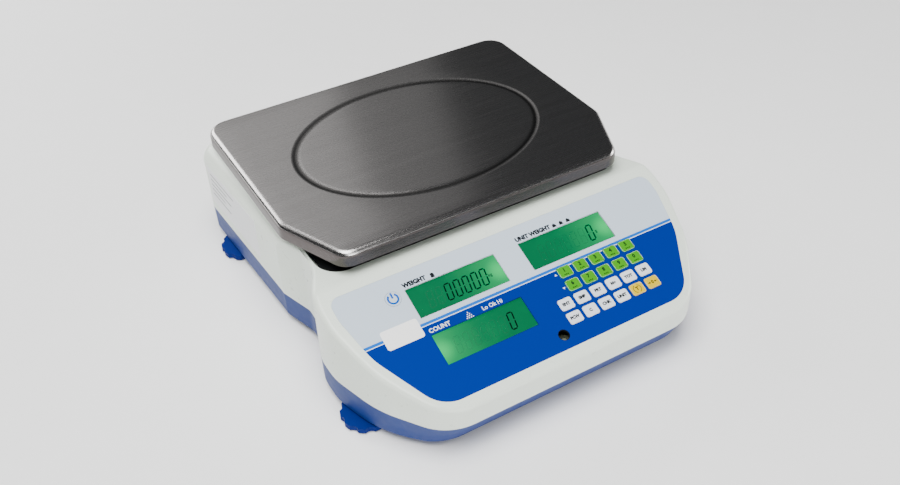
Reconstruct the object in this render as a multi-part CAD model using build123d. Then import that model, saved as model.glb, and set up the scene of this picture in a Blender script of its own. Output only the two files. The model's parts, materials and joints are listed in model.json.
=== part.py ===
"""Bench counting scale: a housing with a sloped console, a loose steel pan and four screw feet.

Frame: origin under the middle of the housing on the surface it stands on, +X right, +Y back, +Z up.
"""

from build123d import *
from math import atan2, cos, degrees, radians, sin, tan
import os

# ---------------------------------------------------------------- driving dimensions, mm
# Weighing pan
pan_width = 300.0
pan_depth = 225.0
pan_sheet = 1.2
pan_flange = 13.0
pan_edge_radius = 5.0
pan_chamfer_width = 25.3
pan_chamfer_depth = 58.9
pan_rear_radius = 18.0
pan_front_radius = 14.0
ring_half_width = 107.0
ring_half_depth = 79.5
ring_band = 5.0
ring_depth = 1.6

# Housing
overall_height = 116.0
side_margin = 5.0  # console beyond the pan at each side
console_depth = 121.4  # housing in front of the pan
rear_margin = 13.6  # housing behind the pan
pan_gap = 9.0  # under the pan's flange
wall = 2.5
parting_height = 31.0
floor_clearance = 7.0
console_angle = 20.65
ridge_forward = 2.9  # the rim reaches this far in front of the pan
waist_back = 24.6  # the waist starts this far behind the pan's front
rim_radius = 14.0
edge_radius = 4.0
front_undercut = 13.0
base_draft = 0.5
base_edge_radius = 2.0
lip_height = 3.0
lip_width = 1.5
lip_gap = 0.2

# Plan of the housing's right half: distances in from the console's side, and back from its front
corner_in = 45.0
corner_radius = 40.0
bend_in = 13.0
bend_back = 46.6
bend_radius = 100.0
side_back = 91.0
side_radius = 60.0
shoulder_radius = 40.0
shoulder_front = 28.0  # in front of the waist
waist_in = 15.5
waist_length = 24.0
waist_radius = 45.0
flare_out = 20.0  # the waist's wall runs out by this much over the flare's length
flare_length = 64.0
flare_radius = 40.0
rear_side_out = 2.0  # rear corner, outside the console's side
rear_corner_radius = 16.0
middle_in = 6.5  # the rear sides' narrowest place
middle_back = 48.0  # behind the waist
middle_radius = 70.0

# Well under the pan
well_side_inset = 12.7
well_front_inset = 8.4
well_rear_inset = 8.4
well_radius = 20.0
well_depth = 12.0

# Console face, measured on its slope: x across, v down the slope from the overlay's top edge
overlay_thickness = 0.5
overlay_top_gap = 8.9  # from the ridge, on the slope
overlay_side_gap = 9.7
overlay_length = 109.0
overlay_corner_in = 36.0
overlay_bend_in = 8.1
overlay_bend_rise = 53.0  # up the slope from the overlay's lower edge
overlay_side_rise = 90.7
overlay_radii = [26.0, 60.0, 40.0, 8.0]
overlay_gap = 0.1
lcd_window_width = 77.2
lcd_window_depth = 25.6
lcd_left_x = -51.5
lcd_right_x = 48.4
lcd_top_v = -28.2
lcd_bottom_v = -69.4
lcd_margin = 3.0
lcd_thickness = 3.6
window_margin = 1.0
board_thickness = 1.6
key_width = 11.9
key_depth = 9.6
key_radius = 1.8
key_pitch_x = 14.8
key_pitch_v = 12.25
key_last_x = 90.0
key_first_v = -51.9
key_proud = 0.15
key_travel = 0.4
key_gap = 0.25
power_key_x = -101.3
power_key_v = -18.4
power_key_radius = 6.0
switch_sheet_thickness = 0.8
patch_x = -108.8
patch_v = -47.1
patch_width = 30.0
patch_depth = 16.0
label_thickness = 0.15
side_label_length = 100.0
side_label_height = 39.0
side_label_low = 40.5
side_label_gap = 18.0  # from the rear wall
level_hole_radius = 4.6
level_v = -97.8
vial_radius = 6.5
vial_height = 7.0
vial_drop = 6.0

# Weighing mechanism
cell_length = 130.0
cell_width = 30.0
cell_height = 22.0
cell_bottom = 44.0
cell_bolt_inset = 12.0
cell_bolt_pitch = 15.0
cell_block_length = 36.0
m5_radius = 2.5
m5_clearance = 0.3
platform_thickness = 3.0
platform_gap = 4.0
platform_lift = 5.0  # above the well's floor
cushion_radius = 8.0
cushion_height = 5.0
cushion_inset_x = 32.0
cushion_inset_y = 30.0
post_radius = 7.0
stop_gap = 0.6
stop_x = 24.0
stop_post_height = 12.0
stop_post_radius = 6.0
stop_screw_radius = 3.0
stop_nut_radius = 5.5
stop_nut_height = 4.0
hub_gap = 5.0  # round the platform's hub, where it passes through the well's floor
hub_end_margin = 8.0
rib_thickness = 3.0
rib_drop = 8.0
block_bolt_depth = 14.0
hub_bolt_depth = 10.0
bolt_head_radius = 4.25
bolt_head_height = 5.0
bolt_socket_radius = 2.0
bolt_socket_depth = 2.5
flexure_length = 39.0
flexure_height = 15.0

# Feet
foot_radius = 20.0
foot_thickness = 4.6
foot_scallops = 10
scallop_radius = 5.0
scallop_bite = 1.6
pad_radius = 15.0
pad_thickness = 1.5
stud_radius = 4.0
stud_length = 16.0
stud_gap = 0.05
pin_radius = 2.5  # the pad's pin, in the wheel
pin_height = 3.0
pin_gap = 0.1
insert_radius = 5.0
insert_length = 12.0
foot_boss_radius = 7.5
front_foot_x = 140.0
front_foot_back = 74.2  # from the housing's front
rear_foot_x = 144.5
rear_foot_forward = 47.0  # from the rear wall

# Electronics
main_board_size = (80.0, 70.0)
main_board_x = -85.0
main_board_forward = 50.0  # its middle, in front of the pan's rear
main_board_lift = 6.5
board_post_radius = 3.0
board_post_inset = 5.0
board_screw_radius = 1.25
board_screw_gap = 0.15
board_screw_length = 7.0
board_screw_head = (2.5, 1.6)
battery_size = (100.0, 70.0, 47.0)
battery_x = 80.0
battery_forward = 52.0
battery_tab = (6.0, 8.0, 5.0)
battery_tab_in = 10.0
battery_tab_spread = 24.0
strap_thickness = 1.0
strap_width = 16.0
strap_flange = 11.0
jack_bore_radius = 3.2
jack_bore_length = 9.0
jack_collar_radius = 5.5
jack_body = (14.0, 14.0, 12.0)
jack_x = 80.0
port_x = 40.0
port_width = 31.0
port_height = 12.5
port_depth = 12.0
port_recess = 0.5
connector_height = 46.0

# Housing screws
boss_radius = 4.0
screw_radius = 1.5
screw_head_radius = 3.0
screw_head_height = 2.0
screw_hole_depth = 8.0
front_screw_in = 60.0  # from the console's side
front_screw_back = 18.0  # from the housing's front
middle_screw_in = 12.0
middle_screw_forward = 6.0  # in front of the ridge
rear_screw_in = 38.0
rear_screw_forward = 11.0  # in front of the rear wall
boss_top = parting_height + lip_height

# ---------------------------------------------------------------- worked-out places
body_width = pan_width + 2 * side_margin
body_depth = console_depth + pan_depth + rear_margin
half_width = body_width / 2
front_y = -body_depth / 2
rear_y = body_depth / 2
pan_front_y = front_y + console_depth
pan_rear_y = pan_front_y + pan_depth
pan_mid_y = (pan_front_y + pan_rear_y) / 2
pan_bottom = overall_height - pan_flange
pan_underside = overall_height - pan_sheet
rim_top = pan_bottom - pan_gap
ridge_y = pan_front_y - ridge_forward
waist_y = pan_front_y + waist_back
well_floor = rim_top - well_depth
base_floor = floor_clearance + wall

slope = tan(radians(console_angle))
# Local x runs across, local y up the slope and local z out of the console's face.
ridge_point = (0, ridge_y, rim_top)
face_normal = (0, -sin(radians(console_angle)), cos(radians(console_angle)))
ridge_plane = Plane(origin=ridge_point, x_dir=(1, 0, 0), z_dir=face_normal)
face_plane = Plane(
    origin=ridge_plane.from_local_coords((0, -overlay_top_gap, 0)), x_dir=(1, 0, 0), z_dir=face_normal
)
display_top = -wall - 0.1  # the displays' glass, below the face
display_board_top = display_top - lcd_thickness


def console_height(y):
    """Height of the console's face at y."""
    return rim_top - (ridge_y - y) * slope


# ---------------------------------------------------------------- helpers
def mirrored_outline(corners, radii):
    """Closed outline from its right-hand corners, front to back, each with a radius."""
    left = [(-x, y) for x, y in reversed(corners)]
    both = list(radii) + list(reversed(radii))
    return make_face(FilletPolyline(*corners, *left, radius=both, close=True).edges())


def slab(face, low, high, inset=0.0):
    """Upright solid on a plan outline, from one height to another."""
    shape = offset(face, amount=-inset) if inset else face
    return extrude(Pos(0, 0, low) * shape, amount=high - low)


def rounded_block(width, depth, low, high, radius, x=0.0, y=0.0):
    return Pos(x, y, low) * extrude(RectangleRounded(width, depth, radius), amount=high - low)


def block(width, depth, low, high, x=0.0, y=0.0):
    return Pos(x, y, low) * extrude(Rectangle(width, depth), amount=high - low)


def post(radius, low, high, x=0.0, y=0.0):
    return Pos(x, y, low) * extrude(Circle(radius), amount=high - low)


def on_face(sketch, x, v, low, high):
    """Solid on the console's slope between two depths, 0 being its face."""
    return face_plane * (Pos(x, v, low) * extrude(sketch, amount=high - low))


def save(name, shape):
    export_step(shape if len(shape.solids()) > 1 else shape.solids()[0], f"parts/{name}.step")


# ---------------------------------------------------------------- outlines
def housing_corners(front, inset=0.0):
    """Plan corners of the right half of the housing, with the y of its front edge."""
    side = half_width - inset
    return [
        (side - corner_in, front),
        (side - bend_in, front_y + bend_back),
        (side, front_y + side_back),
        (side, waist_y - shoulder_front),
        (side - waist_in + 1.0, waist_y),
        (side - waist_in, waist_y + waist_length),
        (side - waist_in + flare_out, waist_y + waist_length + flare_length),
        (side - waist_in + flare_out, rear_y),
    ]


housing_radii = [
    corner_radius, bend_radius, side_radius, shoulder_radius,
    waist_radius, waist_radius / 3, flare_radius, 5.0,
]


def rear_corners(front, inset=0.0):
    """Plan corners of the rear housing's right half: long sides, splayed clear of the waist in front."""
    side = half_width - inset
    return [
        (side + 12.0, front),
        (side - middle_in, waist_y + middle_back),
        (side + rear_side_out, rear_y),
    ]


rear_radii = [0.0, middle_radius, rear_corner_radius]


def pan_outline():
    side = pan_width / 2
    corners = [
        (side - pan_chamfer_width, pan_front_y),
        (side, pan_front_y + pan_chamfer_depth),
        (side, pan_rear_y),
    ]
    return mirrored_outline(corners, [pan_front_radius, pan_front_radius, pan_rear_radius])


def overlay_outline():
    side = half_width - overlay_side_gap
    corners = [
        (side - overlay_corner_in, -overlay_length),
        (side - overlay_bend_in, -overlay_length + overlay_bend_rise),
        (side, -overlay_length + overlay_side_rise),
        (side, 0),
    ]
    return mirrored_outline(corners, overlay_radii)


def housing_outline(front, inset=0.0):
    """Plan of the housing: the console's curves in front of the waist, straight sides behind it."""
    whole = mirrored_outline(housing_corners(front, inset), housing_radii)
    console = Pos(0, waist_y) * Rectangle(900, 900, align=(Align.CENTER, Align.MAX))
    behind = mirrored_outline(rear_corners(waist_y - 10.0, inset), rear_radii)
    return whole & (console + behind)


def rear_block(inset):
    """Rear housing with its rounded top edge, made long so that the waist trims it."""
    shape = slab(mirrored_outline(rear_corners(waist_y - 10.0), rear_radii), 0, rim_top - inset, inset)
    top = shape.edges().filter_by(lambda e: e.center().Z > rim_top - inset - 0.01)
    sides = top.filter_by(lambda e: e.center().Y > waist_y - 9.0 + inset)
    return fillet(sides, rim_radius - inset)


def cover_volume(inset):
    """The cover's outer form, or the space inside it when inset by the wall."""
    outline = mirrored_outline(housing_corners(front_y), housing_radii)
    whole = slab(outline, parting_height, rim_top - inset, inset)
    half_space = Box(900, 900, 200, align=(Align.CENTER, Align.CENTER, Align.MIN))
    above = ridge_plane * (Pos(0, 0, -inset) * half_space)
    whole = whole - above
    behind = Pos(0, waist_y, 0) * Box(900, 900, 400, align=(Align.CENTER, Align.MIN, Align.CENTER))
    return (whole - behind) + (whole & behind & rear_block(inset))


def outer_edges(shape):
    """Edges round the console's top and up the waist, where the form turns over into its walls."""
    chosen = []
    for edge in shape.edges():
        middle, size = edge.center(), edge.bounding_box().size
        upright = size.X < 0.01 and size.Y < 0.01
        across = abs(middle.X) < 1 and middle.Y > front_y + 1
        console = middle.Y < waist_y + 1 and middle.Z > parting_height + 1
        crease = waist_y < middle.Y < waist_y + middle_back + 15 and middle.Z < rim_top - 0.1
        if not upright and not across and (console or (crease and middle.Z > parting_height + 1)):
            chosen.append(edge)
    return chosen


# ---------------------------------------------------------------- housing
def well_face(inset=0.0):
    width = pan_width - 2 * (well_side_inset + inset)
    low = pan_front_y + well_front_inset + inset
    high = pan_rear_y - well_rear_inset - inset
    return Pos(0, (low + high) / 2) * RectangleRounded(width, high - low, well_radius - inset)


def screw_places():
    """Plan places of the six screws that close the housing."""
    front = (half_width - front_screw_in, front_y + front_screw_back)
    middle = (half_width - middle_screw_in, ridge_y - middle_screw_forward)
    rear = (half_width - rear_screw_in, rear_y - rear_screw_forward)
    return [(side * x, y) for x, y in (front, middle, rear) for side in (-1, 1)]


def lcd_places():
    return {
        "lcd_weight": (lcd_left_x, lcd_top_v),
        "lcd_unit_weight": (lcd_right_x, lcd_top_v),
        "lcd_count": (lcd_left_x, lcd_bottom_v),
    }


def key_places():
    """Names and places of the keys: digits in two rows of five, then two rows of six."""
    rows = [
        ["key_1", "key_2", "key_3", "key_4", "key_5"],
        ["key_6", "key_7", "key_8", "key_9", "key_0"],
        ["key_enter", "key_sample", "key_print", "key_memory", "key_total", "key_limits"],
        ["key_piece_weight", "key_clear", "key_check", "key_units", "key_tare", "key_zero"],
    ]
    places = {}
    for row, names in enumerate(rows):
        first_x = key_last_x - key_pitch_x * (len(names) - 1)
        for column, name in enumerate(names):
            places[name] = (first_x + key_pitch_x * column, key_first_v - key_pitch_v * row)
    return places


def key_field(margin):
    """Width, depth and middle of the block of keys, with a margin round it."""
    spots = key_places().values()
    low_x, high_x = min(x for x, v in spots), max(x for x, v in spots)
    low_v, high_v = min(v for x, v in spots), max(v for x, v in spots)
    width = high_x - low_x + key_width + 2 * margin
    depth = high_v - low_v + key_depth + 2 * margin
    return width, depth, (low_x + high_x) / 2, (low_v + high_v) / 2


def level_place():
    """Where the level's sight hole meets the face."""
    return face_plane.from_local_coords((0, level_v, 0))


def make_top_cover():
    outer = cover_volume(0)
    ridge = [e for e in outer.edges() if abs(e.center().X) < 1 and abs(e.center().Y - ridge_y) < 0.1]
    outer = fillet(ridge, 3 * edge_radius)
    outer = fillet(outer_edges(outer), edge_radius)
    cover = outer - cover_volume(wall)

    # The well: a tub hung from the rim, with a way through for the platform's hub.
    cover += slab(well_face(-wall), well_floor - wall, rim_top - wall / 2)
    cover -= slab(well_face(), well_floor, rim_top + 1)
    hub_x = cell_length / 2 - cell_bolt_inset - cell_bolt_pitch / 2
    cover -= block(
        hub_size + 2 * hub_gap, cell_width + 2 * hub_gap, well_floor - 2 * wall, rim_top, hub_x, pan_mid_y
    )

    # Screw posts.
    for x, y in screw_places():
        top = min(console_height(y), rim_top) - wall / 2
        cover += post(boss_radius, boss_top, top, x, y)
        cover -= post(screw_radius, boss_top, boss_top + screw_hole_depth, x, y)

    # Pocket for the overlay, and openings for displays, keys and level.
    cover -= on_face(offset(overlay_outline(), amount=overlay_gap), 0, 0, -overlay_thickness, 5)
    window = RectangleRounded(
        lcd_window_width + 2 * window_margin, lcd_window_depth + 2 * window_margin, 1.5
    )
    for x, v in lcd_places().values():
        cover -= on_face(window, x, v, -2 * wall, 0)
    width, depth, x, v = key_field(key_gap)
    cover -= on_face(RectangleRounded(width, depth, 2.5), x, v, -2 * wall, 0)
    cover -= on_face(Circle(power_key_radius + key_gap), power_key_x, power_key_v, -2 * wall, 0)
    cover -= on_face(Circle(level_hole_radius), 0, level_v, -3 * wall, 0)

    # Rear wall: the supply socket and the data port.
    jack_hole = extrude(Circle(jack_collar_radius), amount=wall + 4)
    cover -= Pos(jack_x, rear_y + 1, connector_height) * Rot(90) * jack_hole
    port = Box(port_width, 2 * wall + 2, port_height)
    cover -= Pos(port_x, rear_y, connector_height) * port
    return cover


def make_base_tray():
    top = housing_outline(front_y)
    foot = housing_outline(front_y + front_undercut, base_draft)

    def bowl(inset, low):
        lower = Pos(0, 0, low) * (offset(foot, amount=-inset) if inset else foot)
        upper = Pos(0, 0, parting_height) * (offset(top, amount=-inset) if inset else top)
        return loft([lower, upper], ruled=True)

    outer = bowl(0, floor_clearance)
    rim = [e for e in outer.edges() if abs(e.center().Z - floor_clearance) < 0.01]
    tray = fillet(rim, base_edge_radius) - bowl(wall, base_floor)

    # Locating lip, inside the cover's wall.
    tray += slab(top, parting_height - 2, parting_height, wall - 0.1) - slab(
        top, parting_height - 2, parting_height, wall + lip_gap + lip_width
    )
    tray += slab(top, parting_height, boss_top, wall + lip_gap) - slab(
        top, parting_height, boss_top, wall + lip_gap + lip_width
    )
    for x, y in screw_places():
        tray += post(boss_radius, floor_clearance + wall / 2, boss_top, x, y)
        tray -= post(screw_radius + 0.2, floor_clearance, boss_top, x, y)
        tray -= post(screw_head_radius + 0.2, floor_clearance - 1, floor_clearance + screw_head_height, x, y)
    for x, y in foot_places().values():
        tray += post(foot_boss_radius, base_floor - wall / 2, base_floor + insert_length + 2, x, y)
        tray -= post(insert_radius, floor_clearance - 1, base_floor + insert_length + 3, x, y)
    for x, y in board_posts():
        tray += post(board_post_radius, base_floor - wall / 2, base_floor + main_board_lift, x, y)
        tray -= post(board_screw_radius, base_floor, base_floor + main_board_lift + 1, x, y)

    # Stand for the level, and a post under the loaded end of the cell.
    level = level_place()
    tray += post(vial_radius, base_floor - wall / 2, vial_bottom(), level.X, level.Y)
    tray += post(stop_post_radius, base_floor - wall / 2, base_floor + stop_post_height, stop_x, pan_mid_y)
    return tray


def make_front_overlay():
    sheet = on_face(overlay_outline(), 0, 0, -overlay_thickness, 0)
    for x, v in lcd_places().values():
        sheet -= on_face(Rectangle(lcd_window_width, lcd_window_depth), x, v, -1, 1)
    hole = RectangleRounded(key_width + 2 * key_gap, key_depth + 2 * key_gap, key_radius + key_gap)
    for x, v in key_places().values():
        sheet -= on_face(hole, x, v, -1, 1)
    sheet -= on_face(Circle(power_key_radius + key_gap), power_key_x, power_key_v, -1, 1)
    return sheet - on_face(Circle(level_hole_radius), 0, level_v, -1, 1)


def make_display_windows():
    panes = [
        on_face(Rectangle(lcd_window_width, lcd_window_depth), x, v, -overlay_thickness, 0)
        for x, v in lcd_places().values()
    ]
    return Compound(children=panes)


def make_blank_label():
    return on_face(RectangleRounded(patch_width, patch_depth, 2), patch_x, patch_v, 0, label_thickness)


def make_side_label():
    """Blank plate on the long left side, which leans out towards the rear."""
    (near_x, near_y), (far_x, far_y) = rear_corners(front_y)[1:]
    lean = atan2(far_x - near_x, far_y - near_y)
    middle_y = rear_y - side_label_gap - side_label_length / 2
    wall_x = near_x + (middle_y - near_y) * tan(lean)
    size = (label_thickness, side_label_length, side_label_height)
    plate = Box(*size, align=(Align.MAX, Align.CENTER, Align.MIN))
    return Pos(-wall_x, middle_y, side_label_low) * Rot(0, 0, degrees(lean)) * plate


# ---------------------------------------------------------------- keys and displays
key_foot = -wall + key_travel + 0.1  # a button's underside, clear of the dome sheet when pressed


def make_key(x, v):
    return on_face(RectangleRounded(key_width, key_depth, key_radius), x, v, key_foot, key_proud)


def make_key_power():
    return on_face(Circle(power_key_radius), power_key_x, power_key_v, key_foot, key_proud)


def make_switch_sheets():
    """Dome sheets under the key field and the power key, stuck to the inside of the face."""
    width, depth, x, v = key_field(1.2)
    field = on_face(Rectangle(width, depth), x, v, -wall - switch_sheet_thickness, -wall)
    single = on_face(
        Circle(power_key_radius + 1.2), power_key_x, power_key_v, -wall - switch_sheet_thickness, -wall
    )
    return Compound(children=[field, single])


def make_lcd(x, v):
    width, depth = lcd_window_width + 2 * lcd_margin, lcd_window_depth + 2 * lcd_margin
    return on_face(Rectangle(width, depth), x, v, display_board_top, display_top)


def make_display_board():
    width = lcd_right_x - lcd_left_x + lcd_window_width + 2 * lcd_margin + 4
    depth = lcd_top_v - lcd_bottom_v + lcd_window_depth + 2 * lcd_margin + 4
    x, v = (lcd_left_x + lcd_right_x) / 2, (lcd_top_v + lcd_bottom_v) / 2
    board = on_face(Rectangle(width, depth), x, v, display_board_top - board_thickness, display_board_top)
    underside = display_board_top - board_thickness
    board += on_face(Rectangle(14, 14), x, v, underside - 1.6, underside)
    return board + on_face(Rectangle(24, 6), x + 30, v, underside - 5, underside)


# ---------------------------------------------------------------- level
def vial_bottom():
    return console_height(level_place().Y) - vial_drop - vial_height


def make_level_vial():
    level = level_place()
    return post(vial_radius, vial_bottom(), vial_bottom() + vial_height, level.X, level.Y)


# ---------------------------------------------------------------- weighing mechanism
hub_size = 2 * cell_bolt_inset + cell_bolt_pitch - hub_end_margin
cell_top = cell_bottom + cell_height
platform_bottom = well_floor + platform_lift
platform_top = platform_bottom + platform_thickness


def bolt_spots(side):
    """Middles of the two bolts at one end of the load cell."""
    outer = cell_length / 2 - cell_bolt_inset
    return [side * outer, side * (outer - cell_bolt_pitch)]


def ellipse_band(low, high, half_band):
    """Band along the pan's pressed ring."""
    outside = Ellipse(ring_half_width + half_band, ring_half_depth + half_band)
    inside = Ellipse(ring_half_width - half_band, ring_half_depth - half_band)
    return Pos(0, pan_mid_y, low) * extrude(outside - inside, amount=high - low)


def make_weighing_pan():
    outer = slab(pan_outline(), pan_bottom, overall_height)
    outer = fillet(outer.edges().filter_by(lambda e: e.center().Z > overall_height - 0.01), pan_edge_radius)
    inner = slab(pan_outline(), pan_bottom - 1, pan_underside, pan_sheet)
    inner = fillet(
        inner.edges().filter_by(lambda e: e.center().Z > pan_underside - 0.01), pan_edge_radius - pan_sheet
    )
    bead = ellipse_band(pan_underside - ring_depth, pan_underside, ring_band / 2 + pan_sheet)
    groove = ellipse_band(overall_height - ring_depth, overall_height + 1, ring_band / 2)
    return outer - inner + bead - groove


def cushion_places():
    x = pan_width / 2 - well_side_inset - cushion_inset_x
    half_y = pan_depth / 2 - cushion_inset_y
    return [(a * x, pan_mid_y + b * half_y) for a in (-1, 1) for b in (-1, 1)]


def make_pan_support():
    """Black cast platform that fills the well, with a hub on the cell and four posts for the pan."""
    plate = slab(well_face(platform_gap), platform_bottom, platform_top)
    hub_x = (bolt_spots(1)[0] + bolt_spots(1)[1]) / 2
    plate += block(hub_size, cell_width, cell_top, platform_bottom, hub_x, pan_mid_y)
    for x, y in cushion_places():
        plate += post(post_radius, platform_bottom, pan_underside - cushion_height, x, y)
    left, near = cushion_places()[0]
    right, far = cushion_places()[3]
    rib_top = pan_underside - cushion_height - rib_drop
    for y in (near, far):
        plate += block(right - left, rib_thickness, platform_top - 1, rib_top, 0, y)
    for x in (left, right):
        plate += block(rib_thickness, far - near, platform_top - 1, rib_top, x, pan_mid_y)
    for x in bolt_spots(1):
        plate -= post(m5_radius, cell_top, cell_top + hub_bolt_depth, x, pan_mid_y)
    return plate


def make_pan_cushions():
    low = pan_underside - cushion_height
    pads = [fillet(post(cushion_radius, low, pan_underside, x, y).edges().group_by(Axis.Z)[0], 0.8)
            for x, y in cushion_places()]
    return Compound(children=pads)


def make_load_cell():
    bar = block(cell_length, cell_width, cell_bottom, cell_top, 0, pan_mid_y)
    middle = (cell_bottom + cell_top) / 2
    slot = SlotCenterToCenter(flexure_length - flexure_height, flexure_height)
    flexure = Pos(0, pan_mid_y, middle) * Rot(90) * slot
    bar -= extrude(flexure, amount=cell_width, both=True)
    for x in bolt_spots(1) + bolt_spots(-1):
        bar -= post(m5_radius + m5_clearance, cell_bottom, cell_top, x, pan_mid_y)
    return bar


def make_cell_block():
    """Cast spacer under the fixed end of the load cell."""
    x = -(cell_length - cell_block_length) / 2
    spacer = block(cell_block_length, cell_width + 4, base_floor, cell_bottom, x, pan_mid_y)
    for bolt_x in bolt_spots(-1):
        spacer -= post(m5_radius, cell_bottom - block_bolt_depth, cell_bottom, bolt_x, pan_mid_y)
    return spacer


def cell_screws(side):
    """Two socket screws: down into the spacer at the fixed end, up into the hub at the loaded end."""
    face = cell_top if side < 0 else cell_bottom
    tip = cell_bottom - block_bolt_depth + 2 if side < 0 else cell_top + hub_bolt_depth - 1
    out = -side
    screws = []
    for x in bolt_spots(side):
        shank = post(m5_radius, min(face, tip), max(face, tip), x, pan_mid_y)
        head_end = face + out * bolt_head_height
        head = post(bolt_head_radius, min(face, head_end), max(face, head_end), x, pan_mid_y)
        socket_end = head_end - out * bolt_socket_depth
        socket = post(bolt_socket_radius, min(socket_end, head_end), max(socket_end, head_end), x, pan_mid_y)
        screws.append(shank + head - socket)
    return Compound(children=screws)


def make_overload_stop():
    """Stop screw that the loaded end of the cell comes down on."""
    foot = base_floor + stop_post_height
    nut = Pos(stop_x, pan_mid_y, foot) * extrude(RegularPolygon(stop_nut_radius, 6), amount=stop_nut_height)
    return nut + post(stop_screw_radius, foot, cell_bottom - stop_gap, stop_x, pan_mid_y)


# ---------------------------------------------------------------- feet
def foot_places():
    return {
        "front_left": (-front_foot_x, front_y + front_foot_back),
        "front_right": (front_foot_x, front_y + front_foot_back),
        "rear_left": (-rear_foot_x, rear_y - rear_foot_forward),
        "rear_right": (rear_foot_x, rear_y - rear_foot_forward),
    }


def make_foot_wheel(x, y):
    """Scalloped hand wheel on a screw stud."""
    top = pad_thickness + foot_thickness
    wheel = post(foot_radius, pad_thickness, top, x, y)
    reach = foot_radius + scallop_radius - scallop_bite
    for place in PolarLocations(reach, foot_scallops):
        scallop = extrude(Circle(scallop_radius), amount=foot_thickness + 2)
        cut = Pos(x, y, pad_thickness - 1) * place * scallop
        wheel -= cut
    wheel -= post(pin_radius + pin_gap, pad_thickness, pad_thickness + pin_height + 2 * pin_gap, x, y)
    return wheel + post(stud_radius, top, top + stud_length, x, y)


def make_foot_pad(x, y):
    pad = post(pad_radius, 0, pad_thickness, x, y)
    pad = fillet(pad.edges().group_by(Axis.Z)[0], 0.5)
    return pad + post(pin_radius, pad_thickness, pad_thickness + pin_height, x, y)


def make_foot_inserts():
    rings = [
        post(insert_radius, base_floor, base_floor + insert_length, x, y)
        - post(stud_radius + stud_gap, base_floor, base_floor + insert_length, x, y)
        for x, y in foot_places().values()
    ]
    return Compound(children=rings)


# ---------------------------------------------------------------- electronics
main_board_y = pan_rear_y - main_board_forward
battery_y = pan_rear_y - battery_forward


def board_posts():
    half_x, half_y = (size / 2 - board_post_inset for size in main_board_size)
    return [(main_board_x + a * half_x, main_board_y + b * half_y) for a in (-1, 1) for b in (-1, 1)]


def make_main_board():
    """Circuit board with its chip, transformer, capacitor and connector as plain blocks."""
    x, y = main_board_x, main_board_y
    low = base_floor + main_board_lift
    top = low + board_thickness
    board = block(*main_board_size, low, top, x, y)
    board += block(12, 12, top, top + 1.6, x, y) + block(20, 8, top, top + 10, x - 20, y + 22)
    board += post(5, top, top + 12, x + 22, y + 18) + block(24, 6, top, top + 8, x, y - 26)
    for post_x, post_y in board_posts():
        board -= post(board_screw_radius + board_screw_gap, low, top, post_x, post_y)
    return board


def make_board_screws():
    top = base_floor + main_board_lift + board_thickness
    head_radius, head_height = board_screw_head
    screws = [
        post(board_screw_radius, top - board_screw_length, top, x, y)
        + post(head_radius, top, top + head_height, x, y)
        for x, y in board_posts()
    ]
    return Compound(children=screws)


def make_battery():
    width, depth, height = battery_size
    top = base_floor + height
    case = rounded_block(width, depth, base_floor, top, 2.0, battery_x, battery_y)
    tab_width, tab_depth, tab_height = battery_tab
    tab_x = battery_x + width / 2 - battery_tab_in
    for tab_y in (battery_y - battery_tab_spread, battery_y + battery_tab_spread):
        case += block(tab_width, tab_depth, top, top + tab_height, tab_x, tab_y)
    return case


def make_battery_strap():
    """Steel band over the battery, with a flange at each side on the floor."""
    width, _, height = battery_size
    top = base_floor + height
    over = top + strap_thickness
    band = block(width + 2 * strap_thickness, strap_width, base_floor, over, battery_x, battery_y)
    flanges = block(
        width + 2 * strap_flange, strap_width, base_floor, base_floor + strap_thickness, battery_x, battery_y
    )
    return band + flanges - block(width, strap_width, base_floor, top, battery_x, battery_y)


def make_dc_jack():
    body = Pos(jack_x, rear_y - wall - jack_body[1] / 2, connector_height) * Box(*jack_body)
    collar = extrude(Circle(jack_collar_radius), amount=wall)
    collar = Pos(jack_x, rear_y, connector_height) * Rot(90) * collar
    bore = Pos(jack_x, rear_y, connector_height) * Rot(90) * extrude(
        Circle(jack_bore_radius), amount=jack_bore_length
    )
    return body + collar - bore


def make_data_port():
    port = Box(port_width, port_depth, port_height)
    return Pos(port_x, rear_y - port_depth / 2 - port_recess, connector_height) * port


def make_cover_screws():
    screws = []
    for x, y in screw_places():
        low = floor_clearance + 0.3
        head_top = floor_clearance + screw_head_height
        head = post(screw_head_radius, low, head_top, x, y)
        screws.append(head + post(screw_radius, head_top, boss_top + screw_hole_depth - 1, x, y))
    return Compound(children=screws)


# ---------------------------------------------------------------- the assembly
def main():
    os.makedirs("parts", exist_ok=True)
    save("top_cover", make_top_cover())
    save("base_tray", make_base_tray())
    save("front_overlay", make_front_overlay())
    save("display_windows", make_display_windows())
    save("blank_label", make_blank_label())
    save("side_label", make_side_label())
    for name, (x, v) in key_places().items():
        save(name, make_key(x, v))
    save("key_power", make_key_power())
    save("key_switch_sheet", make_switch_sheets())
    for name, (x, v) in lcd_places().items():
        save(name, make_lcd(x, v))
    save("display_board", make_display_board())
    save("level_vial", make_level_vial())
    save("weighing_pan", make_weighing_pan())
    save("pan_support", make_pan_support())
    save("pan_cushions", make_pan_cushions())
    save("load_cell", make_load_cell())
    save("cell_block", make_cell_block())
    save("cell_screws", cell_screws(-1))
    save("hub_screws", cell_screws(1))
    save("overload_stop", make_overload_stop())
    for name, (x, y) in foot_places().items():
        save(f"foot_wheel_{name}", make_foot_wheel(x, y))
        save(f"foot_pad_{name}", make_foot_pad(x, y))
    save("foot_inserts", make_foot_inserts())
    save("main_board", make_main_board())
    save("board_screws", make_board_screws())
    save("battery", make_battery())
    save("battery_strap", make_battery_strap())
    save("dc_jack", make_dc_jack())
    save("data_port", make_data_port())
    save("cover_screws", make_cover_screws())


main()
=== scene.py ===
import json
from math import atan2, cos, pi, radians, sin, tan

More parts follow.
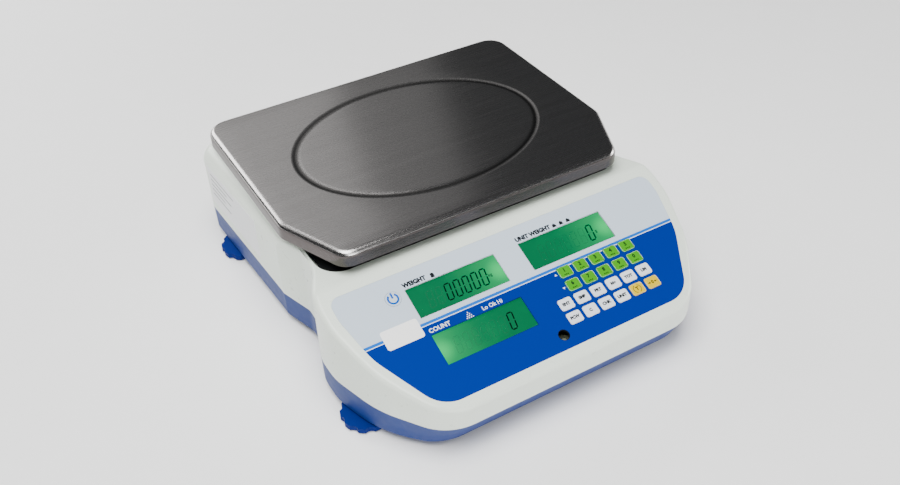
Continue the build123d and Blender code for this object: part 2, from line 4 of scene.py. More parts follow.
import bmesh
import bpy
from mathutils import Matrix, Vector


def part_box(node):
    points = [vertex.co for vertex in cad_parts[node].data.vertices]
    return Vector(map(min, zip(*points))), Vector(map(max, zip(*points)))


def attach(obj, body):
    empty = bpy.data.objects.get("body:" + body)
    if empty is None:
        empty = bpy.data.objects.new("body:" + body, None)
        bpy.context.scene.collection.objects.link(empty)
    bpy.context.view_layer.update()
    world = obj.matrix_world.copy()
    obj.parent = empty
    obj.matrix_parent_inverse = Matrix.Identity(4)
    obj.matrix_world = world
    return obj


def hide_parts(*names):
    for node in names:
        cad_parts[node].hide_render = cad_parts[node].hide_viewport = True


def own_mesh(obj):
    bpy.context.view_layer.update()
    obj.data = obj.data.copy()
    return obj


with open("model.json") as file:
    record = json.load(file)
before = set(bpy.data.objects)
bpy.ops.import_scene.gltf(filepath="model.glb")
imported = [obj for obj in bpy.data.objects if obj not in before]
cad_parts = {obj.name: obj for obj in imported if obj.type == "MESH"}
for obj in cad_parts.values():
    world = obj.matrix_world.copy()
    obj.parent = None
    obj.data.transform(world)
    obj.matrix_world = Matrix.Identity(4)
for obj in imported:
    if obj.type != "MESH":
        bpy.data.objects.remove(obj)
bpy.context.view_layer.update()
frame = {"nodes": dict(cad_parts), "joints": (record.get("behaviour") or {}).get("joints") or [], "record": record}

MM = 0.001

# ---------------------------------------------------------------- sizes, in millimetres
overlay_sheet = 0.5
label_sheet = 0.15
print_sheet = 0.03  # thickness of what is printed
print_lift = 0.02  # the print's middle, above what it is printed on
level_v = -97.8  # the level's hole, up the slope from the overlay's top edge

# The overlay's bands, up the slope from its top edge
stripe_top = -45.3
stripe_width = 2.3
pale_width = 0.7

# The pressed pan
pan_sheet = 1.2
pan_flange = 13.0
pan_edge = 5.0
pan_chamfer_width = 25.3
pan_chamfer_depth = 58.9
pan_rear_radius = 18.0
pan_front_radius = 14.0
ring_half_width = 107.0
ring_half_depth = 79.5
ring_reach = 4.5  # half the groove's width
ring_drop = 0.7
ring_margin = 0.5  # from the groove to where the flat land starts
edge_margin = 0.3  # from the land to the rounded edge
pan_steps = 360
ring_steps = 8  # on each side of the groove's middle
fillet_steps = 8
disc_shares = (0.15, 0.35, 0.55, 0.75, 0.9)  # circles inside the groove
land_shares = (0.35, 0.7)  # circles between the groove and the rounded edge
painted_shade_bands = 3  # the outermost bands, which take the darker steel copy: painted shade on the flange

node_slots = {part["node"]: part["material_slot"] for part in frame["record"]["subparts"]}

# ---------------------------------------------------------------- the console's face
# Its normal is the way the keys come out, and its origin is the middle of the overlay's top edge.
# The film's box reaches furthest back at its underside, so the origin comes forward by its sheet.
press_axis = Vector(next(j["axis"] for j in frame["joints"] if j["name"] == "key_power_press"))
face_normal = -press_axis
face_up = Vector((0, face_normal.z, -face_normal.y))
overlay_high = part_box("front_overlay")[1]
face_origin = Vector((0, overlay_high.y, overlay_high.z))
face_origin.y += face_normal.y * overlay_sheet * MM


def face_matrix(x, v, out=0.0):
    """Places a flat piece on the face: x across, v up the slope and out from it, in millimetres."""
    turn = Matrix((Vector((1, 0, 0)), face_up, face_normal)).transposed().to_4x4()
    across = Vector((x * MM, 0, 0))
    spot = face_origin + across + face_up * (v * MM) + face_normal * (out * MM)
    return Matrix.Translation(spot) @ turn


def node_middle(node):
    low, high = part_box(node)
    return (low + high) / 2


def face_place(node):
    """Where a node's middle is on the face, in millimetres across and up the slope."""
    offset = node_middle(node) - face_origin
    return offset.x / MM, offset.dot(face_up) / MM


# ---------------------------------------------------------------- small makers
def srgb(red, green, blue):
    """A colour given as 0 to 255, as Blender's linear values, by the sRGB curve."""
    def linear(c):
        c /= 255
        return c / 12.92 if c <= 0.04045 else ((c + 0.055) / 1.055) ** 2.4
    return linear(red), linear(green), linear(blue), 1.0


def plain_mesh(name, bm):
    """What a bmesh holds, as a mesh; the bmesh goes."""
    mesh = bpy.data.meshes.new(name)
    bm.to_mesh(mesh)
    bm.free()
    return mesh


def mesh_object(name, bm, *materials, smooth=None):
    """A finished object from a bmesh, with its place in its mesh."""
    return add_object(name, plain_mesh(name, bm), *materials, smooth=smooth)


def add_object(name, mesh, *materials, smooth=None):
    """An object in the scene; smooth is the angle in degrees past which an edge stays sharp."""
    obj = bpy.data.objects.new(name, mesh)
    bpy.context.scene.collection.objects.link(obj)
    for material in materials:
        mesh.materials.append(material)
    if smooth is not None:
        mesh.shade_smooth()
        mesh.set_sharp_from_angle(angle=radians(smooth))
    return obj


def piece(obj, body, slot, *replaced):
    """A part of the scale: it rides on a body and hides the CAD parts it replaces; slot is not used."""
    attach(obj, body)
    if replaced:
        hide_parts(*replaced)
    return obj


def evaluated(obj):
    """The object's mesh with its modifiers applied; the object itself goes."""
    bpy.context.view_layer.update()
    mesh = bpy.data.meshes.new_from_object(obj.evaluated_get(bpy.context.evaluated_depsgraph_get()))
    bpy.data.objects.remove(obj)
    return mesh


capital_share = 0.7  # a capital's height against the font's size
letter_weight = 0.06  # how far the strokes are thickened, against the letters' height
letter_steps = 3


def lettering(text, height, weight=letter_weight, align="CENTER"):
    """Thin solid letters in a mesh, with their height in millimetres."""
    curve = bpy.data.curves.new(text, "FONT")
    curve.body = text
    curve.size = height * MM / capital_share
    curve.extrude = print_sheet * MM / 2
    curve.offset = height * MM * weight
    curve.resolution_u = letter_steps
    curve.align_x, curve.align_y = align, "CENTER"
    return evaluated(add_object(text, curve))


def join_meshes(parts):
    """One bmesh from (mesh, matrix, material index) parts."""
    bm = bmesh.new()
    for mesh, matrix, index in parts:
        mesh = mesh.copy()
        mesh.transform(matrix)
        for polygon in mesh.polygons:
            polygon.material_index = index
        bm.from_mesh(mesh)
        bpy.data.meshes.remove(mesh)
    return bm


def flat_solid(outline, depth=print_sheet):
    """A thin mesh on a closed outline, given in millimetres on the face."""
    bm = bmesh.new()
    lower = [bm.verts.new((x * MM, y * MM, -depth / 2 * MM)) for x, y in outline]
    upper = [bm.verts.new((x * MM, y * MM, depth / 2 * MM)) for x, y in outline]
    bm.faces.new(reversed(lower))
    bm.faces.new(upper)
    for i in range(len(outline)):
        j = (i + 1) % len(outline)
        bm.faces.new((lower[i], lower[j], upper[j], upper[i]))
    bmesh.ops.recalc_face_normals(bm, faces=bm.faces)
    return plain_mesh("flat", bm)


def skin_between(bm, rings):
    """Quads from each ring of points to the next."""
    for ring, following in zip(rings, rings[1:]):
        for k in range(len(ring)):
            n = (k + 1) % len(ring)
            bm.faces.new((ring[k], ring[n], following[n], following[k]))


def rectangle(left, bottom, right, top):
    return [(left, bottom), (right, bottom), (right, top), (left, top)]


def arc_points(radius, start, end, steps):
    """Points on an arc round the origin, angles in degrees."""
    turn = (end - start) / steps
    angles = [radians(start + turn * i) for i in range(steps + 1)]
    return [(radius * cos(a), radius * sin(a)) for a in angles]


def circle(radius, sides):
    """A regular outline with its first corner on the X axis."""
    return arc_points(radius, 0, 360 - 360 / sides, sides - 1)


def arc_band(radius, width, start, end, steps=40):
    """Outline of a stretch of ring, angles in degrees."""
    outer = arc_points(radius + width / 2, start, end, steps)
    inner = arc_points(radius - width / 2, end, start, steps)
    return outer + inner


# ---------------------------------------------------------------- materials
noise_low = 0.3  # most of a noise's values lie from this
noise_high = 0.7  # to this


class Finish:
    """A material being made: its nodes, and the shader's own sockets."""

    def __init__(self, name, colour, **sockets):
        self.material = bpy.data.materials.new(name)
        self.material.use_nodes = True
        self.tree = self.material.node_tree
        self.shader = self.tree.nodes["Principled BSDF"]
        self.shader.inputs["Base Color"].default_value = colour
        for socket, value in sockets.items():
            self.shader.inputs[socket.replace("_", " ")].default_value = value

    def node(self, kind, links=None, settings=None, **values):
        made = self.tree.nodes.new(kind)
        for key, value in (settings or {}).items():
            setattr(made, key, value)
        for key, value in values.items():
            made.inputs[key.replace("_", " ")].default_value = value
        for key, source in (links or {}).items():
            self.tree.links.new(source, made.inputs[key])
        return made

    def place(self, scale=(1, 1, 1)):
        """Object coordinates, stretched by a scale along each axis."""
        coords = self.node("ShaderNodeTexCoord")
        return self.node("ShaderNodeMapping", {"Vector": coords.outputs["Object"]}, Scale=scale).outputs[0]

    def noise(self, size, scale=(1, 1, 1), detail=3.0, rough=0.5):
        """Noise whose grain is about size millimetres."""
        return self.node("ShaderNodeTexNoise", {"Vector": self.place(scale)},
                         Scale=1 / (size * MM), Detail=detail, Roughness=rough).outputs["Fac"]

    def mix(self, factor, first, second, blend="MIX"):
        mixer = self.node("ShaderNodeMix", settings={"data_type": "RGBA", "blend_type": blend})
        for index, value in ((0, factor), (6, first), (7, second)):
            if isinstance(value, bpy.types.NodeSocket):
                self.tree.links.new(value, mixer.inputs[index])
            else:
                mixer.inputs[index].default_value = value
        return mixer.outputs[2]

    def math(self, operation, first, second=0.0, clamp=False):
        made = self.node("ShaderNodeMath", settings={"operation": operation, "use_clamp": clamp})
        for index, value in enumerate((first, second)):
            if isinstance(value, bpy.types.NodeSocket):
                self.tree.links.new(value, made.inputs[index])
            else:
                made.inputs[index].default_value = value
        return made.outputs[0]

    def ramp(self, factor, low, high, first=0.0, second=1.0):
        """A value from first to second as the factor goes from low to high."""
        made = self.node("ShaderNodeMapRange", {"Value": factor})
        for key, value in (("From Min", low), ("From Max", high), ("To Min", first), ("To Max", second)):
            made.inputs[key].default_value = value
        return made.outputs[0]

    def drift(self, noise, first=0.0, second=1.0):
        """A value from first to second over the middle of a noise's range."""
        return self.ramp(noise, noise_low, noise_high, first, second)

    def set(self, socket, source):
        self.tree.links.new(source, self.shader.inputs[socket])

    def bump(self, height, strength, distance):
        made = self.node("ShaderNodeBump", {"Height": height}, Strength=strength, Distance=distance * MM)
        self.set("Normal", made.outputs[0])

    def along(self, origin, direction):
        """Distance in metres from origin along a direction, in object space."""
        coords = self.node("ShaderNodeTexCoord")
        less = self.node("ShaderNodeVectorMath", {0: coords.outputs["Object"]}, {"operation": "SUBTRACT"})
        less.inputs[1].default_value = origin
        made = self.node("ShaderNodeVectorMath", {0: less.outputs[0]}, {"operation": "DOT_PRODUCT"})
        made.inputs[1].default_value = direction
        return made.outputs["Value"]


def darker(colour, share):
    return (*(c * share for c in colour[:3]), 1.0)


def moulded(name, colour, roughness, grain=0.35, relief=0.02, mottle=0.94, **sockets):
    """Moulded plastic: fine texture, and colour and gloss that drift a little over the surface."""
    finish = Finish(name, colour, Roughness=roughness, **sockets)
    colour_patch, gloss_patch = 40.0, 6.0
    patches = finish.drift(finish.noise(colour_patch))
    finish.set("Base Color", finish.mix(patches, darker(colour, mottle), colour))
    finish.set("Roughness", finish.drift(finish.noise(gloss_patch), roughness - 0.03, roughness + 0.04))
    finish.bump(finish.noise(grain, detail=2.0), 0.25, relief)
    return finish.material


def brushed(name, colour, roughness, across=(1, 1, 1), grain=0.25, contrast=0.85, relief=0.004):
    """Metal with fine parallel lines; across is the stretch of the grain along each axis."""
    finish = Finish(name, colour, Metallic=1.0, Roughness=roughness)
    broad_grain, fine_share, broad_share = grain * 12, 0.6, 0.4
    lines = finish.noise(grain, across, detail=4.0, rough=0.7)
    broad = finish.noise(broad_grain, across, detail=2.0)
    both = finish.math("ADD", finish.math("MULTIPLY", lines, fine_share),
                       finish.math("MULTIPLY", broad, broad_share))
    finish.set("Base Color", finish.mix(finish.ramp(both, 0.35, 0.65), darker(colour, contrast), colour))
    finish.set("Roughness", finish.drift(lines, roughness - 0.04, roughness + 0.06))
    finish.bump(lines, 0.3, relief)
    return finish


def cast(name, colour, roughness, metallic=0.0, grain=1.2, relief=0.08):
    """Cast metal, bare or painted, with a coarse skin."""
    finish = Finish(name, colour, Roughness=roughness, Metallic=metallic)
    skin = finish.noise(grain, detail=5.0)
    finish.set("Base Color", finish.mix(skin, darker(colour, 0.75), colour))
    finish.bump(skin, 0.5, relief)
    return finish.material


def overlay_film():
    """Printed film: silver-grey above, a cyan stripe and a pale line, and blue below."""
    silver, cyan = srgb(190, 203, 216), srgb(0, 96, 190)
    pale, blue = srgb(214, 222, 232), srgb(0, 38, 128)
    finish = Finish("printed_film", silver, Roughness=0.5, Specular_IOR_Level=0.04)
    up = finish.along(face_origin, face_up)
    weave = finish.noise(0.5, detail=2.0)
    colour = finish.mix(weave, darker(silver, 0.97), silver)
    lower = finish.mix(weave, darker(blue, 0.9), blue)
    edges = (stripe_top, stripe_top - stripe_width, stripe_top - stripe_width - pale_width)
    for edge, band in zip(edges, (cyan, pale, lower)):
        colour = finish.mix(finish.math("LESS_THAN", up, edge * MM), colour, band)
    finish.set("Base Color", colour)
    finish.bump(weave, 0.12, 0.01)
    return finish.material


def display_glass(node, lamp_side):
    """Backlit display: dark green, brightening towards the lamp at one end."""
    glow_start, glow_end, lamp_place = -0.02, 0.039, 0.038  # metres from the middle to the lamp's end
    spot_area, spot_squash = 0.00022, 1.4
    middle = node_middle(node)
    finish = Finish("backlight_" + node, srgb(20, 70, 48), Roughness=0.5, Specular_IOR_Level=0.05)
    across = finish.along(middle, (lamp_side, 0, 0))
    slope = finish.along(middle, face_up)
    near = finish.ramp(across, glow_start, glow_end)
    rise = finish.math("MULTIPLY", finish.math("MULTIPLY", slope, slope), spot_squash)
    gap = finish.math("SUBTRACT", across, lamp_place)
    reach = finish.math("ADD", finish.math("MULTIPLY", gap, gap), rise)
    spot = finish.ramp(reach, 0.0, spot_area, 1.0, 0.0)
    cloud = finish.drift(finish.noise(14.0, detail=1.0), -0.06, 0.06)
    body = finish.mix(finish.math("ADD", finish.math("POWER", near, 2.0), cloud, True),
                      srgb(0, 116, 70), srgb(0, 180, 100))
    glow = finish.mix(finish.math("POWER", spot, 2.2), body, srgb(0, 232, 120))
    finish.set("Emission Color", glow)
    finish.shader.inputs["Emission Strength"].default_value = 1.2
    finish.set("Base Color", finish.mix(near, srgb(4, 30, 18), srgb(4, 46, 28)))
    return finish.material


def clear_film():
    """Thin clear plastic over the displays, with smears in its gloss."""
    finish = Finish("clear_film", (0.01, 0.015, 0.012, 1), Roughness=0.12, Alpha=0.03, IOR=1.2)
    finish.set("Roughness", finish.drift(finish.noise(8.0), 0.08, 0.16))
    return finish.material


def vial_glass():
    """The level's clear body over its dark, slightly uneven liquid."""
    finish = Finish("vial_plastic", srgb(60, 62, 52), Roughness=0.1, Coat_Weight=0.6)
    finish.set("Base Color", finish.mix(finish.noise(3.0), srgb(36, 40, 34), srgb(74, 74, 58)))
    return finish.material


def ink(name, colour, roughness=0.5, shine=0.05):
    """Screen print, with slightly uneven cover."""
    finish = Finish(name, colour, Roughness=roughness, Specular_IOR_Level=shine)
    cover = finish.noise(0.3, detail=2.0)
    finish.set("Base Color", finish.mix(cover, darker(colour, 0.85), colour))
    finish.bump(cover, 0.1, 0.004)
    return finish.material


def circuit_board():
    """Solder mask with a hint of tracks beneath it."""
    finish = Finish("solder_mask", srgb(20, 92, 48), Roughness=0.3)
    tracks = finish.node("ShaderNodeTexBrick", {"Vector": finish.place()}, Scale=220.0, Mortar_Size=0.03)
    finish.set("Base Color", finish.mix(tracks.outputs["Fac"], srgb(16, 84, 44), srgb(44, 128, 66)))
    finish.bump(tracks.outputs["Fac"], 0.3, 0.05)
    return finish.material


def faint_ink(name, colour, alpha, patch, dark, light):
    """A display's see-through print, whose shade drifts over patches of a size in millimetres."""
    finish = Finish(name, colour, Roughness=0.4, Alpha=alpha)
    finish.set("Base Color", finish.mix(finish.noise(patch), dark, light))
    return finish.material


def pan_steel_with_painted_shade(name, colour):
    """Steel brushed along X, with painted shade darkening the pressed ring's groove."""
    groove_shade_core, groove_shade_reach, groove_shade_strength = 0.008, 0.034, 0.8  # painted groove shade: distances as shares of the ring's half size, then its strength
    steel = brushed(name, colour, 0.25, across=(0.01, 1, 1), grain=0.5, contrast=0.9, relief=0.002)
    steel.shader.inputs["Anisotropic"].default_value = 0.85
    grain_way = steel.node("ShaderNodeCombineXYZ", Y=1.0)  # highlights stretch across the grain
    steel.set("Tangent", grain_way.outputs[0])
    low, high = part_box("weighing_pan")
    flat = steel.node("ShaderNodeMapping", {"Vector": steel.node("ShaderNodeTexCoord").outputs["Object"]})
    flat.inputs["Location"].default_value = (0, -(low.y + high.y) / 2 / (ring_half_depth * MM), 0)
    flat.inputs["Scale"].default_value = (1 / (ring_half_width * MM), 1 / (ring_half_depth * MM), 0)
    length = steel.node("ShaderNodeVectorMath", {0: flat.outputs[0]}, {"operation": "LENGTH"})
    off_ring = steel.math("ABSOLUTE", steel.math("SUBTRACT", length.outputs["Value"], 1.0))
    # painted shade: the steel darkens towards the groove's middle line
    shade = steel.ramp(off_ring, groove_shade_core, groove_shade_reach, groove_shade_strength, 0.0)
    brushed_colour = steel.shader.inputs["Base Color"].links[0].from_socket
    steel.set("Base Color", steel.mix(shade, brushed_colour, darker(colour, 0.12)))
    return steel.material


dark_ink = ink("dark_print", srgb(22, 26, 30))
white_ink = ink("white_print", srgb(232, 236, 240))
cyan_ink = ink("cyan_print", srgb(0, 84, 176))
grey_ink = ink("grey_print", srgb(120, 126, 128))
segment_ink = ink("display_segment", srgb(0, 16, 10), 0.9, 0.0)
unlit = faint_ink("unlit_segment", srgb(20, 84, 54), 0.1, 5.0, srgb(16, 70, 46), srgb(22, 90, 60))
faded = faint_ink("faded_segment", srgb(14, 60, 40), 0.55, 2.0, srgb(10, 50, 34), srgb(16, 66, 44))

pan_steel = pan_steel_with_painted_shade("brushed_pan_steel", (0.5, 0.48, 0.47, 1))
# a darker copy of the pan's steel: painted shade on the flange and the underside
flange_painted_shade_steel = pan_steel_with_painted_shade("brushed_steel_flange_painted_shade", (0.1, 0.088, 0.086, 1))
plated = brushed("zinc_plating", (0.62, 0.62, 0.63, 1), 0.32, grain=0.8, contrast=0.9).material
brass = brushed("turned_brass", (0.7, 0.5, 0.24, 1), 0.3, grain=0.4).material

node_finishes = {
    "top_cover": moulded("cover_plastic", srgb(222, 231, 219), 0.3, grain=0.3, relief=0.006, mottle=0.985),
    "base_tray": moulded("base_plastic", srgb(4, 44, 116), 0.5, grain=0.45, relief=0.05,
                         Specular_IOR_Level=0.3),
    "front_overlay": overlay_film(),
    "display_windows": clear_film(),
    "blank_label": ink("label_stock", srgb(254, 254, 252), 0.5),
    "side_label": ink("plate_stock", srgb(243, 244, 245), 0.42),
    "key_switch_sheet": moulded("dome_sheet", srgb(196, 198, 192), 0.5),
    "display_board": circuit_board(),
    "level_vial": vial_glass(),
    "weighing_pan": pan_steel,
    "pan_support": cast("black_casting", srgb(26, 27, 29), 0.45),
    "pan_cushions": moulded("cushion_rubber", srgb(24, 24, 25), 0.7, relief=0.05),
    "load_cell": brushed("milled_aluminium", (0.78, 0.78, 0.8, 1), 0.3, across=(0.05, 1, 1)).material,
    "cell_block": cast("cast_aluminium", (0.5, 0.5, 0.51, 1), 0.5, 0.9),
    "cell_screws": plated,
    "hub_screws": plated,
    "overload_stop": plated,
    "foot_inserts": brass,
    "main_board": circuit_board(),
    "board_screws": plated,
    "battery": moulded("battery_case", srgb(44, 44, 48), 0.5),
    "battery_strap": brushed("strap_steel", (0.4, 0.4, 0.41, 1), 0.4, across=(0.05, 1, 1)).material,
    "dc_jack": moulded("socket_plastic", srgb(22, 22, 24), 0.4),
    "data_port": plated,
    "cover_screws": plated,
}
slot_colours = {
    "key_green": srgb(62, 148, 12),
    "key_white": srgb(222, 226, 233),
    "key_yellow": srgb(212, 180, 0),
    "key_silver": srgb(190, 203, 216),
    "foot_plastic": srgb(0, 30, 106),
    "pad_rubber": srgb(20, 20, 22),
}
rubber_roughness = 0.68
key_roughness = 0.5
slot_finishes = {
    slot: moulded(slot, colour, rubber_roughness if slot == "pad_rubber" else key_roughness,
                  relief=0.015, Specular_IOR_Level=0.08)
    for slot, colour in slot_colours.items()
}


def finish_cad_nodes():
    """Gives every CAD node its material."""
    for name, obj in frame["nodes"].items():
        if name.startswith("lcd_"):
            material = display_glass(name, -1.0 if name == "lcd_count" else 1.0)
        else:
            material = node_finishes.get(name) or slot_finishes[node_slots[name]]
        if not obj.data.materials:
            obj.data.materials.append(material)
        for index in range(len(obj.data.materials)):
            obj.data.materials[index] = material


# ---------------------------------------------------------------- geometry node trees
def node_tree(name, inputs):
    """An empty geometry tree with named inputs, and its group input and output nodes."""
    tree = bpy.data.node_groups.new(name, "GeometryNodeTree")
    tree.interface.new_socket("Geometry", in_out="INPUT", socket_type="NodeSocketGeometry")
    for label, kind in inputs:
        tree.interface.new_socket(label, in_out="INPUT", socket_type="NodeSocket" + kind)
    tree.interface.new_socket("Geometry", in_out="OUTPUT", socket_type="NodeSocketGeometry")
    return tree, tree.nodes.new("NodeGroupInput"), tree.nodes.new("NodeGroupOutput")


def tree_node(tree, kind, links, **settings):
    """A node whose inputs are linked from sockets or set to values."""
    made = tree.nodes.new(kind)
    for key, value in settings.items():
        setattr(made, key, value)
    for key, source in links.items():
        if isinstance(source, bpy.types.NodeSocket):
            tree.links.new(source, made.inputs[key])
        else:
            made.inputs[key].default_value = source
    return made


def end_tree(tree, given, out, geometry):
    """Makes the copies real, gives them their finish and hands them out."""
    real = tree_node(tree, "GeometryNodeRealizeInstances", {"Geometry": geometry})
    dressed = tree_node(tree, "GeometryNodeSetMaterial",
                        {"Geometry": real.outputs[0], "Material": given.outputs["Finish"]})
    tree.links.new(dressed.outputs[0], out.inputs[0])
    return tree


def run_tree(name, tree, mesh, values):
    """A plain mesh from a tree with its inputs set by identifier."""
    obj = add_object(name, mesh)
    modifier = obj.modifiers.new(name, "NODES")
    modifier.node_group = tree
    for item in tree.interface.items_tree:
        if item.in_out == "INPUT" and item.name in values:
            modifier[item.identifier] = values[item.name]
    return evaluated(obj)


def outline_tree():
    """Rounded frame: a filleted rectangle swept by a flat section."""
    sizes = [(label, "Float") for label in ("Width", "Depth", "Corner", "Line", "Height")]
    tree, given, out = node_tree("key_outline", sizes + [("Finish", "Material")])
    path = tree_node(tree, "GeometryNodeCurvePrimitiveQuadrilateral",
                     {"Width": given.outputs["Width"], "Height": given.outputs["Depth"]})
    rounded = tree_node(tree, "GeometryNodeFilletCurve", {
        "Curve": path.outputs[0], "Radius": given.outputs["Corner"], "Count": outline_corner_steps,
    }, mode="POLY")
    section = tree_node(tree, "GeometryNodeCurvePrimitiveQuadrilateral",
                        {"Width": given.outputs["Height"], "Height": given.outputs["Line"]})
    swept = tree_node(tree, "GeometryNodeCurveToMesh",
                      {"Curve": rounded.outputs[0], "Profile Curve": section.outputs[0]})
    return end_tree(tree, given, out, swept.outputs[0])


def row_tree():
    """Copies of a glyph at an even pitch along X."""
    tree, given, out = node_tree("glyph_row", [("Count", "Int"), ("Pitch", "Float"), ("Finish", "Material")])
    step = tree_node(tree, "ShaderNodeCombineXYZ", {"X": given.outputs["Pitch"]})
    line = tree_node(tree, "GeometryNodeMeshLine",
                     {"Count": given.outputs["Count"], "Offset": step.outputs[0]}, mode="OFFSET")
    copies = tree_node(tree, "GeometryNodeInstanceOnPoints",
                       {"Points": line.outputs[0], "Instance": given.outputs["Geometry"]})
    return end_tree(tree, given, out, copies.outputs[0])


outline_corner_steps = 6
key_outline = outline_tree()
glyph_row = row_tree()


def outline_mesh(width, depth, corner, line, height, finish):
    """A rounded frame on its middle line's size, all in millimetres."""
    sizes = {"Width": width, "Depth": depth, "Corner": corner, "Line": line, "Height": height}
    values = {name: size * MM for name, size in sizes.items()}
    return run_tree("outline", key_outline, bpy.data.meshes.new("none"), {**values, "Finish": finish})


def row_mesh(count, pitch, glyph, finish):
    """A row of a glyph's copies along X, the pitch in millimetres."""
    return run_tree("row", glyph_row, glyph, {"Count": count, "Pitch": pitch * MM, "Finish": finish})


# ---------------------------------------------------------------- keys
key_proud = 0.15  # the keys' tops above the face
key_line = 0.6
key_line_sheet = 0.04
key_corner = 1.8
digit_rise = 1.3  # a digit's middle, above its key's
dots_drop = 2.5  # and its row of dots, below it
dots_pitch = 1.5
standby_sheet = 0.06
legends = {
    "key_enter": "ENT", "key_sample": "SMP", "key_print": "PRT", "key_memory": "M+", "key_total": "TOT",
    "key_limits": "LIM", "key_piece_weight": "PCW", "key_clear": "C", "key_check": "CHK", "key_units": "UNIT",
    "key_tare": "T", "key_zero": "0",
}


def key_place(x, v):
    return face_matrix(x, v, key_proud + print_lift)


def legend_parts(node, x, v):
    """The dark print on a key: a digit over three dots, a mark or a short word."""
    tail, place = node[len("key_"):], key_place(x, v)
    if tail.isdigit():
        parts = [(lettering(tail, 3.0), key_place(x, v + digit_rise), 0)]
        for offset in (-dots_pitch, 0, dots_pitch):
            dot = flat_solid(rectangle(-0.5, -0.45, 0.5, 0.45))
            parts.append((dot, key_place(x + offset, v - dots_drop), 0))
        return parts
    if tail == "zero":
        parts = [(lettering("0", 2.6), place, 0)]
        for side in (-1, 1):
            arrow = [(1.5, 0), (3.0, 0.9), (3.0, 0.3), (4.1, 0.3), (4.1, -0.3), (3.0, -0.3), (3.0, -0.9)]
            parts.append((flat_solid([(side * a, b) for a, b in arrow]), place, 0))
        return parts
    if tail == "tare":
        arcs = [flat_solid(arc_band(3.3, 0.4, start, start + 140, 16)) for start in (110, 290)]
        return [(lettering("T", 3.0), place, 0)] + [(arc, place, 0) for arc in arcs]
    return [(lettering(legends[node], 2.4, 0.09), place, 0)]


def decorate_key(node, depth):
    """White outline and dark legend, riding on the key."""
    x, v = face_place(node)
    low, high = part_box(node)
    width = (high.x - low.x) / MM
    edge = outline_mesh(width - key_line, depth - key_line, key_corner - key_line / 2,
                        key_line, key_line_sheet, white_ink)
    edge.transform(key_place(x, v))
    piece(add_object("outline_" + node, edge), node, node_slots[node])
    legend = join_meshes(legend_parts(node, x, v))
    piece(mesh_object("legend_" + node, legend, dark_ink), node, node_slots[node])


def decorate_power_key():
    """Cyan standby symbol: an open ring with a bar in its gap."""
    place = key_place(*face_place("key_power"))
    ring = flat_solid(arc_band(3.9, 1.5, 126, 414), standby_sheet)
    bar = flat_solid(rectangle(-0.75, 0.4, 0.75, 5.2), standby_sheet)
    symbol = join_meshes([(ring, place, 0), (bar, place, 0)])
    piece(mesh_object("standby_symbol", symbol, cyan_ink), "key_power", "key_silver")


def decorate_keys():
    """Print on every key; their depth down the slope is worked out from one key's box."""
    others = ("key_power", "key_switch_sheet")
    keys = [node for node in frame["nodes"] if node.startswith("key_") and node not in others]
    low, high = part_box("key_1")
    height = high.z - low.z
    # A tilted block's box is depth * sin + thickness * cos high, and depth * cos + thickness * sin deep.
    reach = high.y - low.y
    rise, run = -face_normal.y, face_normal.z
    depth = (reach * run - height * rise) / (run * run - rise * rise) / MM
    for node in sorted(keys):
        decorate_key(node, depth)
    decorate_power_key()


# ---------------------------------------------------------------- displays
digit_height = 14.6
digit_width = 5.6
digit_pitch = 7.7
digit_slant = 0.17
last_digit_in = 16.6  # the last digit's middle, from the display window's right edge
digit_low = 5.3  # the digits' feet, above the window's lower edge
digit_places = 7
segment_width = 1.05
segment_gap = 0.25  # from a bar's tip to the corner that it points at
window_depth = 25.6
window_width = 77.2
lit_lift = 0.06
unit_height = 2.6
unit_off = 6.2  # the unit's middle, right of the last digit's
unit_rise = 6.5  # and above the digits' feet


def segment(x0, y0, x1, y1):
    """One bar of a digit, with pointed ends and a gap at each end."""
    along = Vector((x1 - x0, y1 - y0)).normalized()
    side = Vector((-along.y, along.x)) * segment_width / 2
    start = Vector((x0, y0)) + along * segment_gap
    end = Vector((x1, y1)) - along * segment_gap
    tip = along * segment_width / 2
    points = [start, start + tip + side, end - tip + side, end, end - tip - side, start + tip - side]
    return [(p.x + p.y * digit_slant, p.y) for p in points]


def digit_mesh(lit):
    """A seven-segment digit with the named bars, its foot's middle at the origin."""
    half, top = digit_width / 2 - segment_width / 2, digit_height - segment_width
    middle = top / 2
    bars = {
        "a": (-half, top, half, top), "b": (half, top, half, middle), "c": (half, middle, half, 0),
        "d": (half, 0, -half, 0), "e": (-half, 0, -half, middle), "f": (-half, middle, -half, top),
        "g": (-half, middle, half, middle),
    }
    return plain_mesh("digit", join_meshes(
        [(flat_solid(segment(*bars[name])), Matrix.Identity(4), 0) for name in lit]))


def dress_display(node, zeros, unit):
    """Lit zeros, faint unlit digits and a unit mark on a display's glass."""
    x, v = face_place(node)
    heights = [(point.co - face_origin).dot(face_normal) for point in frame["nodes"][node].data.vertices]
    glass_top = max(heights) / MM
    last_x = x + window_width / 2 - last_digit_in
    foot_v = v - window_depth / 2 + digit_low
    for name, count, bars, finish, lift in (
            ("digits_", zeros, "abcdef", segment_ink, lit_lift),
            ("unlit_digits_", digit_places, "abcdefg", unlit, print_lift)):
        row = row_mesh(count, digit_pitch, digit_mesh(bars), finish)
        row.transform(face_matrix(last_x - digit_pitch * (count - 1), foot_v, glass_top + lift))
        piece(add_object(name + node, row), "housing", "lcd")
    if unit:
        mark = lettering(unit, unit_height)
        mark.transform(face_matrix(last_x + unit_off, foot_v + unit_rise, glass_top + lit_lift))
        piece(add_object("unit_mark_" + node, mark, faded), "housing", "lcd")


